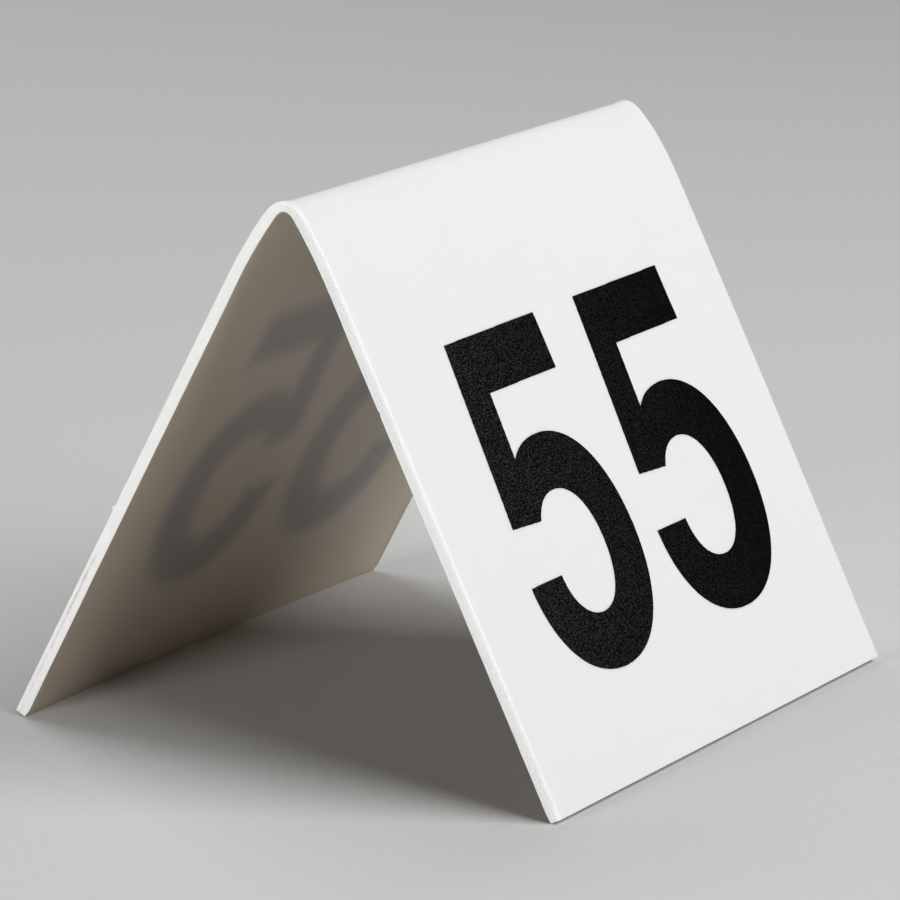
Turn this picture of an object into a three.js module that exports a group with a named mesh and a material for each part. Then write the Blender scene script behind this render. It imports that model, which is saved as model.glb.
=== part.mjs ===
// A table number sign of the tent kind: one strip of white plastic sheet, bent over
// while hot into an upside-down V, with the same two-figure number printed on both
// outer faces. It stands on the inner edges of its two cut ends.
//
// Millimetres. +Z is up, +X runs along the fold and the front face looks towards -Y.
// The origin lies on the table, under the middle of the fold.

import * as THREE from "three";

// The sheet
const sheetWidth = 102; // along the fold
const sheetThickness = 1.9;
const legLength = 99; // along the middle of the sheet, from the top of the fold to the cut end
const openingAngle = THREE.MathUtils.degToRad(55.6); // between the two legs
const cornerRound = 0.3; // eased corners of the cut ends
const sideRound = 0.15; // eased edges of the two sides

// The bend, along the middle of the sheet: most of the turn is in a tight fold at the top,
// and the rest is a slow curve down the top of each leg
const foldShare = 0.65; // the fold's share of the turn
const foldReach = 4.6; // how far down each leg the fold runs
const foldTightness = 6; // power of the curvature's fall along the fold
const bendReach = 19; // how far down each leg the slow curve runs
const bendTightness = 2; // power of the curvature's fall along the slow curve
const bendStrips = 30; // flat strips down each half of the bend, all with the same turn
const bendSteps = 2000; // small steps that add up each half of the bend

// The print, measured on the outer face from the cut end upwards
const frontBaseline = 16.6; // from the cut end to the figures' lowest point
const rearBaseline = 18.1; // the fold is a little nearer to the rear print
const printPitch = 38.45; // from one figure's middle to the next one's
const printShift = 1.15; // how far the pair sits to the right of the face's middle
const printSkew = THREE.MathUtils.degToRad(0.5); // the pair is turned a little anticlockwise
const inkThickness = 0.06;
const inkGap = 0.03; // between the ink and the sheet, so that the two meshes stay apart

// The figure 5, measured from its lowest point and the middle of its width
const figureHeight = 55.2;
const figureHalfWidth = 16.4;
const strokeWidth = 9.2;
const bowlHeight = 37.8;
const bowlSlimming = 0.3; // how much thinner the bowl's stroke is at its top and bottom
const curveFullness = 0.6; // length of a quarter round's handles, as a share of its size
const curveSegments = 12; // straight pieces along each quarter round

const legSlope = (Math.PI - openingAngle) / 2; // from the table to the leg

const whitePlastic = new THREE.MeshStandardMaterial({
  color: 0xedecea,
  roughness: 0.5,
  metalness: 0,
});
const blackInk = new THREE.MeshStandardMaterial({
  color: 0x1b1817,
  roughness: 0.6,
  metalness: 0,
});

// The turn in each small step of a curve whose curvature is greatest at the top and falls
// as (1 - (s / reach)^2)^tightness, so that the sheet below its reach is flat.
function stepTurns(wholeTurn, reach, tightness) {
  const shares = [];
  for (let i = 0; i < bendSteps; i += 1) {
    const s = ((i + 0.5) * bendReach) / bendSteps;
    shares.push(Math.max(0, 1 - (s / reach) ** 2) ** tightness);
  }
  const whole = shares.reduce((sum, share) => sum + share, 0);
  return shares.map((share) => (wholeTurn * share) / whole);
}

// The middle line of the sheet from the top of the fold down to one cut end, as places
// with y outwards, z upwards and the slope there.
function middleLine() {
  const step = bendReach / bendSteps;
  const foldTurns = stepTurns(legSlope * foldShare, foldReach, foldTightness);
  const slowTurns = stepTurns(legSlope * (1 - foldShare), bendReach, bendTightness);
  const turnPerStrip = legSlope / bendStrips;
  const places = [{ y: 0, z: 0, slope: 0 }];
  let y = 0;
  let z = 0;
  let slope = 0;
  for (let i = 0; i < bendSteps; i += 1) {
    const turn = foldTurns[i] + slowTurns[i];
    y += step * Math.cos(slope + turn / 2);
    z -= step * Math.sin(slope + turn / 2);
    slope += turn;
    const nextSlope = places.length * turnPerStrip;
    if (slope > nextSlope && places.length < bendStrips) places.push({ y, z, slope });
  }
  places.push({ y, z, slope: legSlope });
  const flat = legLength - bendReach;
  y += flat * Math.cos(legSlope);
  z -= flat * Math.sin(legSlope);
  places.push({ y, z, slope: legSlope });
  return places;
}

// One face of the sheet seen from the side, from the front cut end over the fold to the
// rear one: side 1 is the outer face and side -1 the inner one.
function faceLine(side) {
  const offset = (side * sheetThickness) / 2;
  const rearHalf = middleLine().map(
    ({ y, z, slope }) =>
      new THREE.Vector2(y + offset * Math.sin(slope), z + offset * Math.cos(slope)),
  );
  const frontHalf = rearHalf
    .slice(1)
    .reverse()
    .map((point) => new THREE.Vector2(-point.x, point.y));
  return [...frontHalf, ...rearHalf];
}

// Draws on from the outline's last place to a corner and round it, towards the next place.
function roundCorner(shape, corner, next) {
  const start = shape.currentPoint.clone().sub(corner).setLength(cornerRound).add(corner);
  const end = next.clone().sub(corner).setLength(cornerRound).add(corner);
  shape.lineTo(start.x, start.y);
  shape.quadraticCurveTo(corner.x, corner.y, end.x, end.y);
}

// The sheet seen from the side, with the part's Y as x and its Z as y.
function sheetOutline() {
  const outer = faceLine(1);
  const inner = faceLine(-1).reverse();
  const shape = new THREE.Shape();
  shape.moveTo(outer[1].x, outer[1].y);
  outer.slice(2, -1).forEach((point) => shape.lineTo(point.x, point.y));
  roundCorner(shape, outer.at(-1), inner[0]);
  roundCorner(shape, inner[0], inner[1]);
  inner.slice(1, -1).forEach((point) => shape.lineTo(point.x, point.y));
  roundCorner(shape, inner.at(-1), outer[0]);
  roundCorner(shape, outer[0], outer[1]);
  shape.closePath();
  return shape;
}

function makeFoldedSheet() {
  const depth = sheetWidth - 2 * sideRound;
  const geometry = new THREE.ExtrudeGeometry(sheetOutline(), {
    depth,
    bevelThickness: sideRound,
    bevelSize: sideRound,
    bevelOffset: -sideRound,
    bevelSegments: 2,
    curveSegments: 4,
  });
  geometry.translate(0, 0, -depth / 2);
  const upright = new THREE.Matrix4().makeBasis(
    new THREE.Vector3(0, 1, 0),
    new THREE.Vector3(0, 0, 1),
    new THREE.Vector3(1, 0, 0),
  );
  geometry.applyMatrix4(upright);
  const mesh = new THREE.Mesh(geometry, whitePlastic);
  mesh.name = "folded_sheet";
  return mesh;
}

// A quarter round from the outline's last place, leaving it along x or along y.
function quarterRound(shape, leaving, x, y) {
  const from = shape.currentPoint;
  const dx = curveFullness * (x - from.x);
  const dy = curveFullness * (y - from.y);
  if (leaving === "x") shape.bezierCurveTo(from.x + dx, from.y, x, y - dy, x, y);
  else shape.bezierCurveTo(from.x, from.y + dy, x - dx, y, x, y);
}

// The outline of the figure 5: a flag, a stem that leans outwards, and an open bowl.
function figureOutline() {
  const flagBottom = figureHeight - strokeWidth;
  const flagLeft = -12.7;
  const flagRight = 13.5;
  const stemLeft = -14.9;
  const stemRight = -6.9;
  const stemBottom = 25.7;
  const notchHeight = 35.3;
  const tailTop = 16.55;
  const tailRight = -figureHalfWidth + strokeWidth - 0.3;
  const bowlMiddle = -0.5;
  const bowlSide = 19.3; // height of the bowl's widest place
  const loopRight = figureHalfWidth - strokeWidth;
  const loopTop = bowlHeight - strokeWidth + bowlSlimming;
  const loopBottom = strokeWidth - bowlSlimming;

  const shape = new THREE.Shape();
  shape.moveTo(flagLeft, figureHeight);
  shape.lineTo(stemLeft, stemBottom);
  shape.lineTo(stemRight, stemBottom - 0.5);
  // the loop inside the bowl, from the stem to the tail
  shape.quadraticCurveTo(-4.7, loopTop, bowlMiddle, loopTop);
  quarterRound(shape, "x", loopRight, bowlSide);
  quarterRound(shape, "y", bowlMiddle, loopBottom);
  quarterRound(shape, "x", tailRight, tailTop);
  shape.lineTo(-figureHalfWidth, tailTop);
  // the outside of the bowl, from the tail to the notch under the flag
  quarterRound(shape, "y", bowlMiddle, 0);
  quarterRound(shape, "x", figureHalfWidth, bowlSide);
  quarterRound(shape, "y", 1, bowlHeight);
  shape.quadraticCurveTo(-4.1, bowlHeight, stemRight, notchHeight);
  shape.lineTo(-6.2, flagBottom);
  shape.lineTo(flagRight, flagBottom);
  shape.lineTo(flagRight, figureHeight);
  shape.closePath();
  return shape;
}

function makeFigure(name, middle) {
  const geometry = new THREE.ExtrudeGeometry(figureOutline(), {
    depth: inkThickness,
    bevelEnabled: false,
    curveSegments,
  });
  const mesh = new THREE.Mesh(geometry, blackInk);
  mesh.name = name;
  mesh.position.x = middle;
  return mesh;
}

// The number on the front leg's outer face. The face group's origin is the middle of the
// cut end's outer edge, with x along that edge, y up the leg and z out of the face.
function makeFrontPrint(leftName, rightName, baseline) {
  const print = new THREE.Group();
  print.position.set(printShift, baseline, inkGap);
  print.rotation.z = printSkew;
  print.add(makeFigure(leftName, -printPitch / 2), makeFigure(rightName, printPitch / 2));
  const face = new THREE.Group();
  const cutEnd = faceLine(1)[0];
  face.position.set(0, cutEnd.x, cutEnd.y);
  face.rotation.x = legSlope;
  face.add(print);
  return face;
}

const foldedSheet = makeFoldedSheet();
const frontPrint = makeFrontPrint("front_left_numeral", "front_right_numeral", frontBaseline);
const rearPrint = new THREE.Group();
rearPrint.add(makeFrontPrint("rear_left_numeral", "rear_right_numeral", rearBaseline));
rearPrint.rotation.z = Math.PI; // the rear face is the front one turned half round

// Everything so far has its origin in the middle of the sheet at the top of the fold.
const standing = new THREE.Group();
standing.add(foldedSheet, frontPrint, rearPrint);
foldedSheet.geometry.computeBoundingBox();
standing.position.z = -foldedSheet.geometry.boundingBox.min.z;

const sign = new THREE.Group();
sign.add(standing);

export default sign;
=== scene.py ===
"""Looks of a tent-style table number sign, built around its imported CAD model.

One strip of white, slightly translucent plastic sheet is bent into an upside-down V and
carries the same black number on both outer faces. Every surface is first laid out flat:
u runs along the fold, s runs down the legs from the top of the fold (below zero on the
front leg) and n runs from the middle of the sheet's thickness to its outer face. The
function bent() then takes a flat place to its place on the bent sheet.
"""

import math

import bpy
import numpy as np
from mathutils import Matrix, Vector
from mathutils.geometry import delaunay_2d_cdt


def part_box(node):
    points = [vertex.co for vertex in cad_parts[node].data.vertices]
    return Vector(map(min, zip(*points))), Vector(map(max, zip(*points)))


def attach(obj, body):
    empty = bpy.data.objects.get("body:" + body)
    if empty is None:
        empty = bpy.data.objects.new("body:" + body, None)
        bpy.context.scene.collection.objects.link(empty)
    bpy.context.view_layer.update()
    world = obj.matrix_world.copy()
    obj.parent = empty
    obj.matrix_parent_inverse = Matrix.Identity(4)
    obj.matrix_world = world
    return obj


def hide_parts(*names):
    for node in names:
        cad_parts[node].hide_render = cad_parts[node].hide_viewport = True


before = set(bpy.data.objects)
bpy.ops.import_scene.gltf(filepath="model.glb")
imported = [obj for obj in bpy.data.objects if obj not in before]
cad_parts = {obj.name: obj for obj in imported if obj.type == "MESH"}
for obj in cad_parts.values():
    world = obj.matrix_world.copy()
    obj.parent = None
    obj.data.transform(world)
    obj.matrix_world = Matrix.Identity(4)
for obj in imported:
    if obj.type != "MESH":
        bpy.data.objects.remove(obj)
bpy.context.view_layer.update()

MM = 0.001

# The sheet, as in the CAD model
sheet_low, sheet_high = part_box("folded_sheet")
WIDTH = sheet_high.x - sheet_low.x
THICKNESS = 1.9 * MM
LEG_LENGTH = 99 * MM
LEG_SLOPE = math.radians(62.2)
FOLD_SHARE = 0.65
FOLD_REACH = 4.6 * MM
FOLD_TIGHTNESS = 6
BEND_REACH = 19 * MM
BEND_TIGHTNESS = 2
BEND_STEPS = 2000
EDGE_ROUND = 0.1 * MM
FOOT_TRIM = 0.08 * MM  # the edges are eased less than the CAD's, so the legs end sooner

# How the real sheet strays from that shape
FOLD_TILT = 0.3 * MM  # the fold runs up to its left end
TILT_SPREAD = 6 * MM  # down the legs
LEFT_CURL = 0.32 * MM  # both ends of the fold curl up
LEFT_CURL_REACH = 2.2 * MM  # along the fold
RIGHT_CURL = 0.16 * MM
RIGHT_CURL_REACH = 1.2 * MM
CURL_SPREAD = 4.5 * MM  # down the legs
THINNING = 0.32 * MM  # the fold's inner side is drawn in
THINNING_SPREAD = 1.9 * MM
FRONT_ARCH = 0.3 * MM  # the front leg arches outwards towards its right side
REAR_ARCH = 0.06 * MM  # and the rear leg a little all over
REAR_BOW = 0.8 * MM  # the rear leg's cut end bows outwards
BOW_SHARE = 0.88  # of that is in its middle, and the rest is inwards at its corners
WAVE = 0.05 * MM  # slow waves in both legs
WAVE_ALONG = 17 * MM  # along the fold, for each radian
WAVE_SLANT = 31 * MM  # down the legs, for each radian of the wave along the fold
WAVE_DOWN = 23 * MM  # down the legs, for each radian of the second wave
WAVE_START = 0.7  # radians

# The cut sides, from the outer face inwards
ROLLOVER = 0.02 * MM  # the outer face rolls down to the cut
ROLLOVER_REACH = 0.9 * MM
TEAR_PLACE = 0.2 * MM  # a torn line runs along the cut here, outside the middle
TEAR_WIDTH = 0.14 * MM
TEAR_WANDER = 0.05 * MM
TEAR_DEPTH = 0.06 * MM
TEAR_START = 69 * MM  # down the rear leg, where the tear opens
TEAR_OPENING = 4 * MM  # further down, where it is fully open
TEAR_HAIRLINE = 0.3  # share of its depth where it is closed
LIP = 0.13 * MM  # the cut leaves a lip on the inner face, growing down the rear leg
LIP_REACH = 0.7 * MM
LIP_START = 4 * MM  # down each leg
LIP_FULL = 25 * MM
LIP_FADE = 1.2 * MM  # above the cut end
LIP_END = 0.3 * MM
SAW_MARKS = 0.035 * MM
SAW_PITCH = 0.45 * MM
SAW_SLANT = 0.4  # how far down the leg a mark runs for each step through the sheet
SAW_SHIFT = 9 * MM  # so that the two sides differ
LONG_MARK_PITCH = 3.1 * MM
BURR_PLACE = 59 * MM  # a burr on the rear leg's left outer edge
BURR_REACH = 0.3 * MM
BURR_HEIGHT = 0.42 * MM
NICK_PLACE = -33.5 * MM  # a nick in the front leg's left inner edge
NICK_REACH = 0.3 * MM
NICK_DEPTH = 0.1 * MM

# The print, as in the CAD model
PRINT_BASELINES = {-1: 16.6 * MM, 1: 18.1 * MM}  # on the front leg and the rear leg
PRINT_PITCH = 38.45 * MM
PRINT_SHIFT = 1.15 * MM
PRINT_SKEW = math.radians(0.5)
FIGURE_HEIGHT = 55.2 * MM
FIGURE_HALF_WIDTH = 16.4 * MM
STROKE = 9.2 * MM
BOWL_HEIGHT = 37.8 * MM
BOWL_SLIMMING = 0.3 * MM
CURVE_FULLNESS = 0.6

# The ink
INK_TOP = 0.05 * MM  # above the sheet's face
INK_BOTTOM = -0.02 * MM
SCREEN_PITCH = 0.1 * MM  # the stencil's threads, which step the ink's edges
STEPPING = 0.6
OUTLINE_PITCH = 0.15 * MM  # between places on a figure's outline
SHORTEST_EDGE = 0.03 * MM
FILM_PITCH = 2.4 * MM  # between places inside a figure
FILM_MARGIN = 0.8 * MM  # from those to its outline
SHADOW_BLUR = 2.4 * MM  # of the print's shadow on the face behind it

# Colours
COOL_WHITE = (0.84, 0.836, 0.84, 1)
WARM_WHITE = (0.862, 0.856, 0.854, 1)
# Painted shade: the inner faces are darker and warmer, standing for the shade inside the tent
INNER_PAINTED_SHADE = (0.61, 0.53, 0.42, 1)
PRINT_SHADOW = (0.37, 0.345, 0.33, 1)
DULL_CUT = (0.85, 0.845, 0.835, 1)
BRIGHT_CUT = (0.92, 0.915, 0.905, 1)
GREY_CUT = (0.79, 0.795, 0.795, 1)
CUT_SPECKS = (0.55, 0.55, 0.55, 1)
TEAR_BROWN = (0.55, 0.47, 0.37, 1)
COLD_BLACK = (0.0008, 0.0007, 0.0006, 1)
WARM_BLACK = (0.0020, 0.0016, 0.0014, 1)
# The ink's grain, which towards the left end also stands for a painted sheen
INK_SPECKS_AND_SHEEN = (0.037, 0.033, 0.031, 1)
DARK_BOARD = (0.57, 0.57, 0.565, 1)
LIGHT_BOARD = (0.63, 0.63, 0.625, 1)

# Surroundings
FLOOR_RADIUS = 4.0
CAMERA_AIM = Vector((-1.61, 0.66, 39.22)) * MM
CAMERA_AZIMUTH = -58.83
CAMERA_ELEVATION = 14.46
CAMERA_DISTANCE = 881.1 * MM
CAMERA_ROLL = math.radians(0.86)
CAMERA_LENS = 224.6
LIGHT_AIM = Vector((0, 0, 0.04))


# ---------------------------------------------------------------- slopes and noise


def smoothstep(low, high, values):
    """0 below low, 1 above high and an easy slope between."""
    t = np.clip((values - low) / (high - low), 0, 1)
    return t * t * (3 - 2 * t)


def bell(values, reach):
    """1 at zero, falling smoothly on both sides."""
    return np.exp(-((values / reach) ** 2))


def ripple(values, pitch, seed):
    """Seeded unevenness from -1 to 1 with one step every pitch."""
    count = 2048
    knots = np.random.default_rng(seed).uniform(-1, 1, count)
    return np.interp((values / pitch + count / 2) % (count - 1), np.arange(count), knots)


# ---------------------------------------------------------------- the bent sheet


def turning(distances, reach, tightness):
    """Shares of the turn at these distances, for a curvature that dies out at reach."""
    shares = np.clip(1 - (distances / reach) ** 2, 0, None) ** tightness
    return shares / shares.sum()


def middle_line():
    """Distance from the fold, reach outwards, drop and slope, down the sheet's middle line.

    Its last place lies beyond the cut end, so that every place on a leg is between two.
    """
    step = BEND_REACH / BEND_STEPS
    centres = (np.arange(BEND_STEPS) + 0.5) * step
    turns = LEG_SLOPE * (
        FOLD_SHARE * turning(centres, FOLD_REACH, FOLD_TIGHTNESS)
        + (1 - FOLD_SHARE) * turning(centres, BEND_REACH, BEND_TIGHTNESS)
    )
    slopes = np.concatenate([[0.0], np.cumsum(turns)])
    step_slopes = (slopes[1:] + slopes[:-1]) / 2
    reach = np.concatenate([[0.0], np.cumsum(np.cos(step_slopes)) * step])
    drop = np.concatenate([[0.0], np.cumsum(np.sin(step_slopes)) * step])
    distances = np.append(np.arange(BEND_STEPS + 1) * step, BEND_REACH + LEG_LENGTH)
    reach = np.append(reach, reach[-1] + LEG_LENGTH * math.cos(LEG_SLOPE))
    drop = np.append(drop, drop[-1] + LEG_LENGTH * math.sin(LEG_SLOPE))
    slopes = np.append(slopes, LEG_SLOPE)
    return distances, reach, drop, slopes


DISTANCES, REACH, DROP, SLOPES = middle_line()
MIDDLE_TOP = sheet_high.z - THICKNESS / 2


def bent(u, s, n):
    """Places on the real bent sheet, one row of x, y and z for each flat place."""
    distance = np.abs(s)
    down = distance / LEG_LENGTH
    tilt = -FOLD_TILT * (2 * u / WIDTH) * bell(s, TILT_SPREAD)
    left_curl = LEFT_CURL * bell(u + WIDTH / 2, LEFT_CURL_REACH)
    right_curl = RIGHT_CURL * bell(u - WIDTH / 2, RIGHT_CURL_REACH)
    curl = (left_curl + right_curl) * bell(s, CURL_SPREAD)
    thinning = THINNING * bell(s, THINNING_SPREAD) * np.clip(-2 * n / THICKNESS, 0, 1)
    wave = WAVE * np.sin(u / WAVE_ALONG + s / WAVE_SLANT) * np.sin(s / WAVE_DOWN - WAVE_START)
    wave = wave * down * (1 - down)
    arch = np.where(s > 0, REAR_ARCH, FRONT_ARCH * (0.5 + u / WIDTH)) * np.sin(np.pi * down)
    bow = np.where(s > 0, REAR_BOW, 0) * (BOW_SHARE - (2 * u / WIDTH) ** 2) * down**2
    n = n + tilt + curl + thinning + wave + arch + bow
    distance = distance + bow / math.tan(LEG_SLOPE)  # keeps the bowed end on the table
    slope = np.interp(distance, DISTANCES, SLOPES)
    y = np.interp(distance, DISTANCES, REACH) + n * np.sin(slope)
    z = MIDDLE_TOP - np.interp(distance, DISTANCES, DROP) + n * np.cos(slope)
    return np.stack([u, np.sign(s) * y, z], axis=-1)


def saw_marks(s, n, side):
    """Depth of the marks that the saw leaves on the cut sides."""
    fine = ripple(s + SAW_SLANT * n + side * SAW_SHIFT, SAW_PITCH, 5)
    return SAW_MARKS * (fine + ripple(s, LONG_MARK_PITCH, 6))


def tear(s, n):
    """Depth of the torn line along the cut sides, a hairline that opens near the rear foot."""
    opening = smoothstep(TEAR_START, TEAR_START + TEAR_OPENING, s)
    opening = TEAR_HAIRLINE + (1 - TEAR_HAIRLINE) * opening
    place = TEAR_PLACE + TEAR_WANDER * ripple(s, 2.3 * MM, 7)
    breaks = np.clip(0.65 + 0.6 * ripple(s, 2.7 * MM, 8), 0, 1)
    return TEAR_DEPTH * opening * breaks * bell(n - place, TEAR_WIDTH)


def nick(s, n, side, to_side):
    """Depth of the nick in the front leg's left inner edge."""
    depth = NICK_DEPTH * bell(s - NICK_PLACE, NICK_REACH) * (side < 0) * (s < 0)
    depth = depth * smoothstep(0.4 * MM, THICKNESS / 2, -n)
    return depth * (1 - smoothstep(0.05 * MM, 0.6 * MM, to_side))


def burr(s, n, side, to_side):
    """Height of the burr on the rear leg's left outer edge."""
    height = BURR_HEIGHT * bell(s - BURR_PLACE, BURR_REACH) * bell(to_side, BURR_REACH)
    return height * (side < 0) * smoothstep(0, THICKNESS / 2, n)


def lip(s, n, to_side):
    """Height of the lip that the cut leaves along the inner faces' sides."""
    distance = np.abs(s)
    height = LIP * (1 + (s > 0) * (s / LEG_LENGTH) ** 2) * bell(to_side, LIP_REACH)
    height = height * (n < 0) * smoothstep(LIP_START, LIP_FULL, distance)
    return height * (1 - smoothstep(LEG_LENGTH - LIP_FADE, LEG_LENGTH - LIP_END, distance))


def roughly_cut(places):
    """Flat places with what the cutting has left: saw marks, a tear, a nick, a burr and a lip."""
    u, s, n = places.T
    side = np.sign(u)
    to_side = WIDTH / 2 - np.abs(u)
    on_cut = 1 - smoothstep(0.02 * MM, EDGE_ROUND, to_side)
    notch = nick(s, n, side, to_side)
    new_u = u - side * (on_cut * (saw_marks(s, n, side) + tear(s, n)) + notch)
    roll = ROLLOVER * np.clip(1 - to_side / ROLLOVER_REACH, 0, 1) ** 2 * (n > 0)
    new_n = n - roll + burr(s, n, side, to_side) - lip(s, n, to_side) + notch
    return np.stack([new_u, s, new_n], axis=-1)


def stations(half, inner):
    """Places across the sheet from -half to half: three steps round each edge, then inner."""
    rounds = [half - EDGE_ROUND * (1 - math.tan(math.radians(a))) for a in (0, 15, 30, 45)]
    kept = inner[np.abs(inner) < half - EDGE_ROUND - 0.05 * MM]
    return np.concatenate([[-x for x in reversed(rounds)], kept, rounds])


def box_surface(us, ss, ns):
    """The skin of a box grid: its places, its quads facing out and each quad's axis."""
    shape = (len(us), len(ss), len(ns))
    on_skin = np.zeros(shape, bool)
    for axis in range(3):
        for end in (0, -1):
            on_skin[(slice(None),) * axis + (end,)] = True
    numbers = np.full(shape, -1)
    numbers[on_skin] = np.arange(on_skin.sum())
    places = np.stack(np.meshgrid(us, ss, ns, indexing="ij"), axis=-1)[on_skin]
    quads, axes = [], []
    for axis in range(3):
        for end in (0, -1):
            side = np.take(numbers, end, axis)
            corners = [side[:-1, :-1], side[1:, :-1], side[1:, 1:], side[:-1, 1:]]
            if (axis == 1) == (end == -1):
                corners.reverse()
            quads.append(np.stack(corners, axis=-1).reshape(-1, 4))
            axes.append(np.full(len(quads[-1]), axis))
    return places, np.concatenate(quads), np.concatenate(axes)


def rounded(places, halves):
    """Takes the places of a box's skin onto the box with rounded edges."""
    core = np.clip(places, -(halves - EDGE_ROUND), halves - EDGE_ROUND)
    away = places - core
    length = np.linalg.norm(away, axis=1, keepdims=True)
    return core + away * (EDGE_ROUND / np.maximum(length, 1e-9))


def new_object(name, points, faces, flat_places):
    """A mesh object that keeps each vertex's flat place, in millimetres, for its material."""
    mesh = bpy.data.meshes.new(name)
    mesh.from_pydata(points.tolist(), [], [list(map(int, face)) for face in faces])
    attribute = mesh.attributes.new("flat_place", "FLOAT_VECTOR", "POINT")
    attribute.data.foreach_set("vector", (flat_places / MM).astype(np.float32).ravel())
    mesh.update()
    obj = bpy.data.objects.new(name, mesh)
    bpy.context.scene.collection.objects.link(obj)
    return obj


# ---------------------------------------------------------------- the figure 5


def bezier(p0, p1, p2, p3):
    """Places on a cubic curve after its start, about one every pitch of the outline."""
    p0, p1, p2, p3 = (np.array(p, float) for p in (p0, p1, p2, p3))
    length = np.linalg.norm(p3 - p0) * 1.1
    t = np.linspace(0, 1, max(2, int(length / OUTLINE_PITCH)) + 1)[1:, None]
    return (1 - t) ** 3 * p0 + 3 * (1 - t) ** 2 * t * p1 + 3 * (1 - t) * t**2 * p2 + t**3 * p3


def figure_outline():
    """The outline of the figure 5, from its lowest point and the middle of its width."""
    flag_bottom = FIGURE_HEIGHT - STROKE
    flag_left = -12.7 * MM
    flag_right = 13.5 * MM
    stem_left = -14.9 * MM
    stem_right = -6.9 * MM
    stem_bottom = 25.7 * MM
    notch_height = 35.3 * MM
    tail_top = 16.55 * MM
    tail_right = -FIGURE_HALF_WIDTH + STROKE - 0.3 * MM
    bowl_middle = -0.5 * MM
    bowl_side = 19.3 * MM
    loop_right = FIGURE_HALF_WIDTH - STROKE
    loop_top = BOWL_HEIGHT - STROKE + BOWL_SLIMMING
    loop_bottom = STROKE - BOWL_SLIMMING

    parts = [np.array([[flag_left, FIGURE_HEIGHT]])]

    def line(x, y):
        start = parts[-1][-1]
        end = np.array([x, y])
        parts.append(bezier(start, start * 2 / 3 + end / 3, start / 3 + end * 2 / 3, end))

    def hook(control_x, control_y, x, y):
        start = parts[-1][-1]
        pull = np.array([control_x, control_y]) * 2 / 3
        end = np.array([x, y])
        parts.append(bezier(start, start / 3 + pull, end / 3 + pull, end))

    def quarter(leaving, x, y):
        x0, y0 = parts[-1][-1]
        dx = CURVE_FULLNESS * (x - x0)
        dy = CURVE_FULLNESS * (y - y0)
        if leaving == "x":
            parts.append(bezier((x0, y0), (x0 + dx, y0), (x, y - dy), (x, y)))
        else:
            parts.append(bezier((x0, y0), (x0, y0 + dy), (x - dx, y), (x, y)))

    line(stem_left, stem_bottom)
    line(stem_right, stem_bottom - 0.5 * MM)
    hook(-4.7 * MM, loop_top, bowl_middle, loop_top)
    quarter("x", loop_right, bowl_side)
    quarter("y", bowl_middle, loop_bottom)
    quarter("x", tail_right, tail_top)
    line(-FIGURE_HALF_WIDTH, tail_top)
    quarter("y", bowl_middle, 0)
    quarter("x", FIGURE_HALF_WIDTH, bowl_side)
    quarter("y", 1 * MM, BOWL_HEIGHT)
    hook(-4.1 * MM, BOWL_HEIGHT, stem_right, notch_height)
    line(-6.2 * MM, flag_bottom)
    line(flag_right, flag_bottom)
    line(flag_right, FIGURE_HEIGHT)
    line(flag_left, FIGURE_HEIGHT)
    return np.concatenate(parts)[:-1]


def printed_outline(leg, which):
    """One figure's outline on a leg: x along the cut end as read, y up from the cut end."""
    outline = figure_outline()
    outline[:, 0] += which * PRINT_PITCH / 2
    cos, sin = math.cos(PRINT_SKEW), math.sin(PRINT_SKEW)
    turned = outline @ np.array([[cos, sin], [-sin, cos]])
    return turned + [PRINT_SHIFT, PRINT_BASELINES[leg]]


def stepped(outline):
    """The outline as the stencil's threads leave it."""
    steps = np.round(outline / SCREEN_PITCH) * SCREEN_PITCH
    return outline + STEPPING * (steps - outline)


def signed_distance(points, outline):
    """Distance from each point to a closed outline, below zero inside it."""
    nearest = np.full(len(points), np.inf)
    inside = np.zeros(len(points), bool)
    for a, b in zip(outline, np.roll(outline, -1, axis=0)):
        along = b - a
        t = np.clip(((points - a) @ along) / max(along @ along, 1e-18), 0, 1)
        nearest = np.minimum(nearest, np.linalg.norm(points - a - t[:, None] * along, axis=1))
        crosses = (a[1] > points[:, 1]) != (b[1] > points[:, 1])
        rise = along[1] if along[1] else 1e-18
        inside ^= crosses & (points[:, 0] < a[0] + (points[:, 1] - a[1]) * along[0] / rise)
    return np.where(inside, -nearest, nearest)


def film_of_ink(outline):
    """A stepped outline's places, with more of them inside it, and the triangles between."""
    lengths = np.linalg.norm(outline - np.roll(outline, 1, axis=0), axis=1)
    outline = outline[lengths > SHORTEST_EDGE]
    low, high = outline.min(0), outline.max(0)
    xs = np.arange(low[0] + FILM_PITCH / 2, high[0], FILM_PITCH)
    ys = np.arange(low[1] + FILM_PITCH / 2, high[1], FILM_PITCH)
    inner = np.stack(np.meshgrid(xs, ys), axis=-1).reshape(-1, 2)
    inner = inner[signed_distance(inner, outline) < -FILM_MARGIN]
    points = [Vector(p / MM) for p in np.concatenate([outline, inner])]
    count = len(outline)
    rim = [(i, (i + 1) % count) for i in range(count)]
    vertices, _, faces, *_ = delaunay_2d_cdt(points, rim, [], 1, 1e-6)
    return np.array([tuple(v) for v in vertices]) * MM, [tuple(face) for face in faces]


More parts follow.
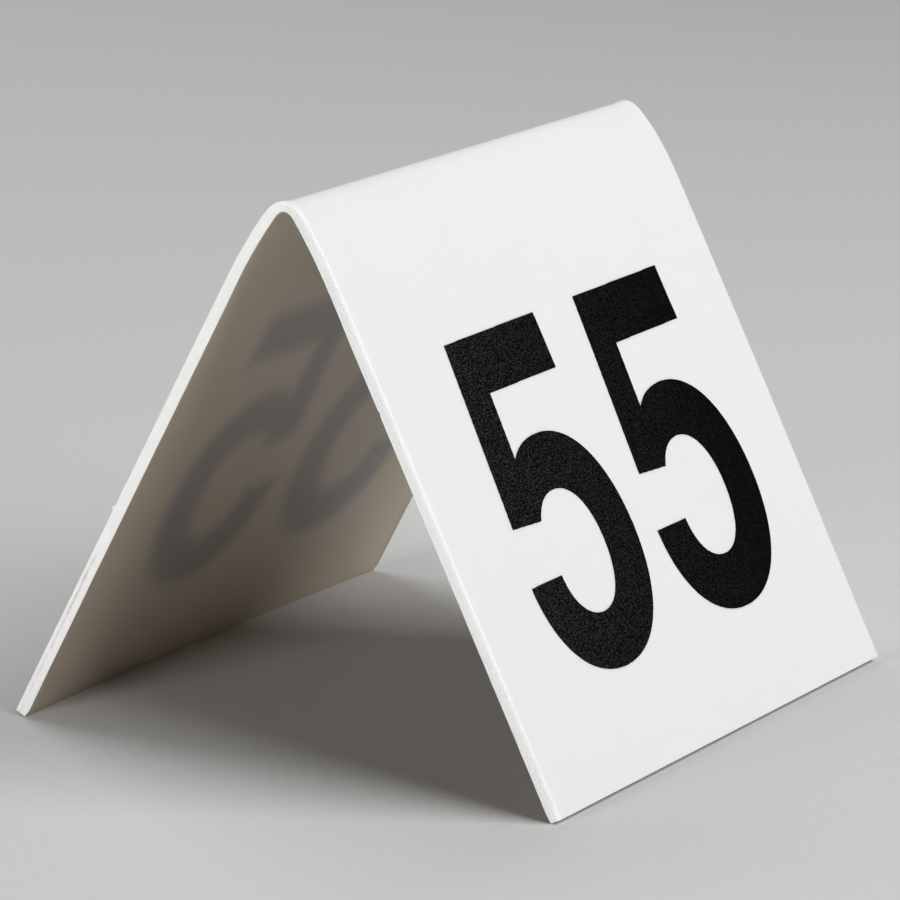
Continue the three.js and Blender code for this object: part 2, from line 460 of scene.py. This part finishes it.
def build_figure(name, leg, which):
    """A film of ink in the shape of the figure, lying on the outer face of the leg.

    The front leg is -1 and the rear leg 1, and so are the left and the right figure.
    """
    flat, triangles = film_of_ink(stepped(printed_outline(leg, which)))
    u = -leg * flat[:, 0]
    s = leg * (LEG_LENGTH - flat[:, 1])
    upper = np.full(len(u), THICKNESS / 2 + INK_TOP)
    lower = np.full(len(u), THICKNESS / 2 + INK_BOTTOM)
    edges = {}
    for a, b, c in triangles:
        for edge in ((a, b), (b, c), (c, a)):
            edges[edge] = True
    below = len(flat)
    walls = [(a, a + below, b + below, b) for a, b in edges if (b, a) not in edges]
    under = [(a + below, c + below, b + below) for a, b, c in triangles]
    points = np.concatenate([bent(u, s, upper), bent(u, s, lower)])
    places = np.concatenate([np.stack([u, s, upper], axis=-1)] * 2)
    return new_object(name, points, triangles + walls + under, places)


def shadow_of_print(flat_places):
    """How much of the light coming through the sheet the print on its outer face takes."""
    u, s, n = flat_places.T
    shade = np.zeros(len(u))
    for leg in (-1, 1):
        on_inner_face = (np.sign(s) == leg) & (n < 0)
        points = np.stack([-leg * u, LEG_LENGTH - np.abs(s)], axis=-1)[on_inner_face]
        for which in (-1, 1):
            distance = signed_distance(points, printed_outline(leg, which)[::6])
            cover = 1 - smoothstep(-SHADOW_BLUR, SHADOW_BLUR, distance)
            shade[on_inner_face] = np.maximum(shade[on_inner_face], cover)
    return shade


# ---------------------------------------------------------------- materials


def node(tree, kind, inputs=None, **settings):
    """A new shader node. An input is a value or the socket that feeds it."""
    made = tree.nodes.new(kind)
    for name, value in settings.items():
        setattr(made, name, value)
    for name, value in (inputs or {}).items():
        if isinstance(value, bpy.types.NodeSocket):
            tree.links.new(value, made.inputs[name])
        else:
            made.inputs[name].default_value = value
    return made


def new_material(name):
    material = bpy.data.materials.new(name)
    material.use_nodes = True
    return material, material.node_tree, material.node_tree.nodes["Principled BSDF"]


def flat_place(tree):
    """The surface's place on the flat sheet, in millimetres."""
    return node(tree, "ShaderNodeAttribute", attribute_name="flat_place").outputs["Vector"]


def noise(tree, place, scale, detail=3.0, roughness=0.5, stretch=(1, 1, 1)):
    """Noise over the flat sheet, with scale in waves per millimetre."""
    stretched = node(tree, "ShaderNodeVectorMath", {0: place, 1: stretch}, operation="MULTIPLY")
    inputs = {
        "Vector": stretched.outputs["Vector"],
        "Scale": scale,
        "Detail": detail,
        "Roughness": roughness,
    }
    return node(tree, "ShaderNodeTexNoise", inputs).outputs["Fac"]


def remap(tree, value, low, high, to_low, to_high):
    """A value from low to high taken to a value from to_low to to_high, and kept there."""
    inputs = {"Value": value, 1: low, 2: high, 3: to_low, 4: to_high}
    return node(tree, "ShaderNodeMapRange", inputs).outputs["Result"]


def mix(tree, factor, a, b):
    """Colour a where the factor is 0 and colour b where it is 1."""
    made = node(tree, "ShaderNodeMix", data_type="RGBA")
    for name, value in (("Factor_Float", factor), ("A_Color", a), ("B_Color", b)):
        socket = next(i for i in made.inputs if i.identifier == name)
        if isinstance(value, bpy.types.NodeSocket):
            tree.links.new(value, socket)
        else:
            socket.default_value = value
    return next(o for o in made.outputs if o.identifier == "Result_Color")


def times(tree, *values):
    """The product of values and sockets."""
    product = values[0]
    for value in values[1:]:
        made = node(tree, "ShaderNodeMath", {0: product, 1: value}, operation="MULTIPLY")
        product = made.outputs[0]
    return product


def band(tree, value, middle, half_width, edge):
    """1 within half_width of middle and 0 beyond the edge outside it."""
    offset = node(tree, "ShaderNodeMath", {0: value, 1: middle}, operation="SUBTRACT")
    offset = node(tree, "ShaderNodeMath", {0: offset.outputs[0]}, operation="ABSOLUTE")
    return remap(tree, offset.outputs[0], half_width, half_width + edge, 1.0, 0.0)


def add_bump(tree, shader, height, strength, distance):
    inputs = {"Strength": strength, "Distance": distance, "Height": height}
    bump = node(tree, "ShaderNodeBump", inputs)
    tree.links.new(bump.outputs["Normal"], shader.inputs["Normal"])


def make_translucent(shader):
    shader.inputs["Subsurface Weight"].default_value = 1.0
    shader.inputs["Subsurface Radius"].default_value = (1.0, 1.0, 1.0)
    shader.inputs["Subsurface Scale"].default_value = 0.65 * MM
    shader.inputs["IOR"].default_value = 1.49


def sheet_material():
    """Satin white plastic: faint clouds, a fine matt grain, painted shade on the inner faces and
    the print's painted shadow on them.
    """
    material, tree, shader = new_material("satin_white_plastic")
    place = flat_place(tree)
    clouds = noise(tree, place, 0.06, detail=4)
    grain = noise(tree, place, 2.6, detail=2)
    white = mix(tree, clouds, COOL_WHITE, WARM_WHITE)
    shade = node(tree, "ShaderNodeAttribute", attribute_name="print_shadow").outputs["Fac"]
    depth = node(tree, "ShaderNodeSeparateXYZ", {"Vector": place}).outputs["Z"]
    # Painted shade: the inner faces take a darker, warmer colour for the shade inside the tent
    inside = remap(tree, depth, -0.9, -0.7, 1.0, 0.0)
    white = mix(tree, inside, white, INNER_PAINTED_SHADE)
    colour = mix(tree, shade, white, PRINT_SHADOW)
    tree.links.new(colour, shader.inputs["Base Color"])
    tree.links.new(remap(tree, grain, 0.3, 0.7, 0.4, 0.5), shader.inputs["Roughness"])
    add_bump(tree, shader, grain, 0.12, 0.05 * MM)
    make_translucent(shader)
    return material


def cut_material():
    """The sawn sides: rough, grey and speckled on the front leg, with a brown tear on the rear."""
    material, tree, shader = new_material("sawn_white_plastic")
    place = flat_place(tree)
    parts = node(tree, "ShaderNodeSeparateXYZ", {"Vector": place})
    down, out = parts.outputs["Y"], parts.outputs["Z"]
    streaks = noise(tree, place, 1.0, detail=4, roughness=0.7, stretch=(1, 0.35, 3))
    specks = noise(tree, place, 3.2, detail=2, roughness=0.6)
    gaps = noise(tree, place, 1.6, detail=3, roughness=0.7, stretch=(1, 0.4, 1))
    pale = remap(tree, streaks, 0.35, 0.65, 0.0, 1.0)
    colour = mix(tree, pale, DULL_CUT, BRIGHT_CUT)

    on_front = remap(tree, down, -1.0, 1.0, 1.0, 0.0)
    middle = band(tree, out, -0.15, 0.5, 0.15)
    grey = times(tree, on_front, middle, remap(tree, streaks, 0.3, 0.7, 1, 0.2))
    colour = mix(tree, grey, colour, GREY_CUT)
    patches = remap(tree, noise(tree, place, 0.07, detail=1), 0.42, 0.58, 0.2, 1.0)
    dark = times(tree, on_front, patches, remap(tree, specks, 0.54, 0.68, 0.0, 0.5))
    colour = mix(tree, dark, colour, CUT_SPECKS)

    tear_start = TEAR_START / MM
    opened = remap(tree, down, tear_start - 3, tear_start + 1, 0.0, 1.0)
    line = band(tree, out, TEAR_PLACE / MM, 0.05, 0.26)
    broken = remap(tree, gaps, 0.34, 0.64, 0.15, 0.8)
    fading = remap(tree, down, tear_start + 4, LEG_LENGTH / MM, 1.0, 0.35)
    brown = times(tree, opened, line, broken, fading)
    colour = mix(tree, brown, colour, TEAR_BROWN)

    tree.links.new(colour, shader.inputs["Base Color"])
    tree.links.new(remap(tree, streaks, 0.3, 0.7, 0.5, 0.7), shader.inputs["Roughness"])
    add_bump(tree, shader, streaks, 0.4, 0.08 * MM)
    make_translucent(shader)
    return material


def ink_material():
    """Matt black ink with the light grain that the stencil leaves, raised towards the left end as
    a painted sheen, so there is less of it to the right.
    """
    material, tree, shader = new_material("matt_black_ink")
    place = flat_place(tree)
    grain = noise(tree, place, 4.2, detail=2, roughness=0.7, stretch=(0.6, 1, 1))
    across = node(tree, "ShaderNodeSeparateXYZ", {"Vector": place}).outputs["X"]
    # Painted sheen: the grain is strongest at the left end of the fold, by the front's left
    # figure, and fades to the right
    strength = remap(tree, across, -36, 36, 1.15, 0.25)
    specks = times(tree, remap(tree, grain, 0.46, 0.64, 0.0, 1.0), strength)
    clouds = noise(tree, place, 0.12, detail=3)
    colour = mix(tree, specks, mix(tree, clouds, COLD_BLACK, WARM_BLACK), INK_SPECKS_AND_SHEEN)
    tree.links.new(colour, shader.inputs["Base Color"])
    tree.links.new(remap(tree, grain, 0.3, 0.7, 0.6, 0.8), shader.inputs["Roughness"])
    add_bump(tree, shader, grain, 0.5, 0.04 * MM)
    shader.inputs["Specular IOR Level"].default_value = 0.01
    return material


def floor_material():
    """Plain pale board with a barely visible tooth."""
    material, tree, shader = new_material("pale_board")
    place = node(tree, "ShaderNodeTexCoord").outputs["Object"]
    tooth = node(tree, "ShaderNodeTexNoise", {"Vector": place, "Scale": 900.0, "Detail": 3.0})
    colour = mix(tree, tooth.outputs["Fac"], DARK_BOARD, LIGHT_BOARD)
    tree.links.new(colour, shader.inputs["Base Color"])
    shader.inputs["Roughness"].default_value = 0.8
    return material


# ---------------------------------------------------------------- the pieces


def sheet_grid():
    """Places along u, s and n where the sheet's surface has vertices, and its half sizes."""
    halves = np.array([WIDTH / 2, LEG_LENGTH - FOOT_TRIM, THICKNESS / 2])
    ends = WIDTH / 2 - np.array([0.35, 0.6, 0.9, 1.4, 2.1]) * MM
    middle = np.linspace(-1, 1, 73) * (WIDTH / 2 - 3 * MM)
    us = np.concatenate([-ends, middle, ends[::-1]])
    fold = np.arange(-8, 8.01, 0.25) * MM
    leg = np.linspace(8.4 * MM, LEG_LENGTH - 0.6 * MM, 110)
    near = np.arange(-1, 1.01, 0.25) * MM
    ss = np.unique(np.concatenate([-leg, fold, leg, BURR_PLACE + near, NICK_PLACE + near]))
    ns = np.linspace(-0.7, 0.7, 11) * MM
    return [stations(half, inner) for half, inner in zip(halves, (us, ss, ns))], halves


def build_sheet():
    """The bent sheet, with its edges eased."""
    grid, halves = sheet_grid()
    places, quads, axes = box_surface(*grid)
    places = roughly_cut(rounded(places, halves))
    obj = new_object("white_sheet", bent(*places.T), quads, places)
    shadow = obj.data.attributes.new("print_shadow", "FLOAT", "POINT")
    shadow.data.foreach_set("value", shadow_of_print(places).astype(np.float32))
    obj.data.materials.append(sheet_material())
    obj.data.materials.append(cut_material())
    obj.data.polygons.foreach_set("material_index", (axes != 2).astype(np.int32))
    obj.data.polygons.foreach_set("use_smooth", np.ones(len(quads), bool))
    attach(obj, "root")
    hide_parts("folded_sheet")


def build_print():
    """The two figures on each outer face."""
    ink = ink_material()
    for leg, face in ((-1, "front"), (1, "rear")):
        for which, hand in ((-1, "left"), (1, "right")):
            obj = build_figure(f"{face}_{hand}_ink", leg, which)
            obj.data.materials.append(ink)
            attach(obj, "root")
            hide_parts(f"{face}_{hand}_numeral")


def build_floor():
    bpy.ops.mesh.primitive_circle_add(vertices=128, radius=FLOOR_RADIUS, fill_type="NGON")
    floor = bpy.context.object
    floor.name = "floor"
    floor.data.materials.append(floor_material())


# ---------------------------------------------------------------- camera and light


def seen_from(azimuth, elevation):
    """The direction from the object back to a camera at these angles, in degrees."""
    a, e = math.radians(azimuth), math.radians(elevation)
    return Vector((math.sin(a) * math.cos(e), -math.cos(a) * math.cos(e), math.sin(e)))


def facing(back):
    """The turn of a camera or a light that looks against this direction."""
    return back.to_track_quat("Z", "Y").to_matrix()


def build_camera():
    data = bpy.data.cameras.new("camera")
    data.lens = CAMERA_LENS
    data.clip_start = 0.05
    data.clip_end = 50
    camera = bpy.data.objects.new("camera", data)
    back = seen_from(CAMERA_AZIMUTH, CAMERA_ELEVATION)
    turn = facing(back) @ Matrix.Rotation(CAMERA_ROLL, 3, "Z")
    place = CAMERA_AIM + back * CAMERA_DISTANCE
    camera.matrix_world = Matrix.Translation(place) @ turn.to_4x4()
    bpy.context.scene.collection.objects.link(camera)
    bpy.context.scene.camera = camera


def add_softbox(name, azimuth, elevation, distance, size, power):
    data = bpy.data.lights.new(name, "AREA")
    data.shape = "RECTANGLE"
    data.size, data.size_y = size
    data.energy = power
    light = bpy.data.objects.new(name, data)
    back = seen_from(azimuth, elevation)
    place = LIGHT_AIM + back * distance
    light.matrix_world = Matrix.Translation(place) @ facing(back).to_4x4()
    bpy.context.scene.collection.objects.link(light)


def build_light():
    world = bpy.data.worlds.new("studio")
    world.use_nodes = True
    background = world.node_tree.nodes["Background"]
    background.inputs["Color"].default_value = (0.95, 0.97, 1, 1)
    background.inputs["Strength"].default_value = 0.03
    bpy.context.scene.world = world
    add_softbox("key", azimuth=8, elevation=46, distance=1.1, size=(0.9, 0.9), power=13)
    add_softbox("side", azimuth=-98, elevation=5, distance=1.0, size=(0.3, 0.12), power=5.5)
    add_softbox("behind", azimuth=160, elevation=45, distance=1.2, size=(0.9, 0.7), power=5.5)
    bpy.context.scene.view_settings.view_transform = "Standard"


build_camera()
build_sheet()
build_print()
build_floor()
build_light()
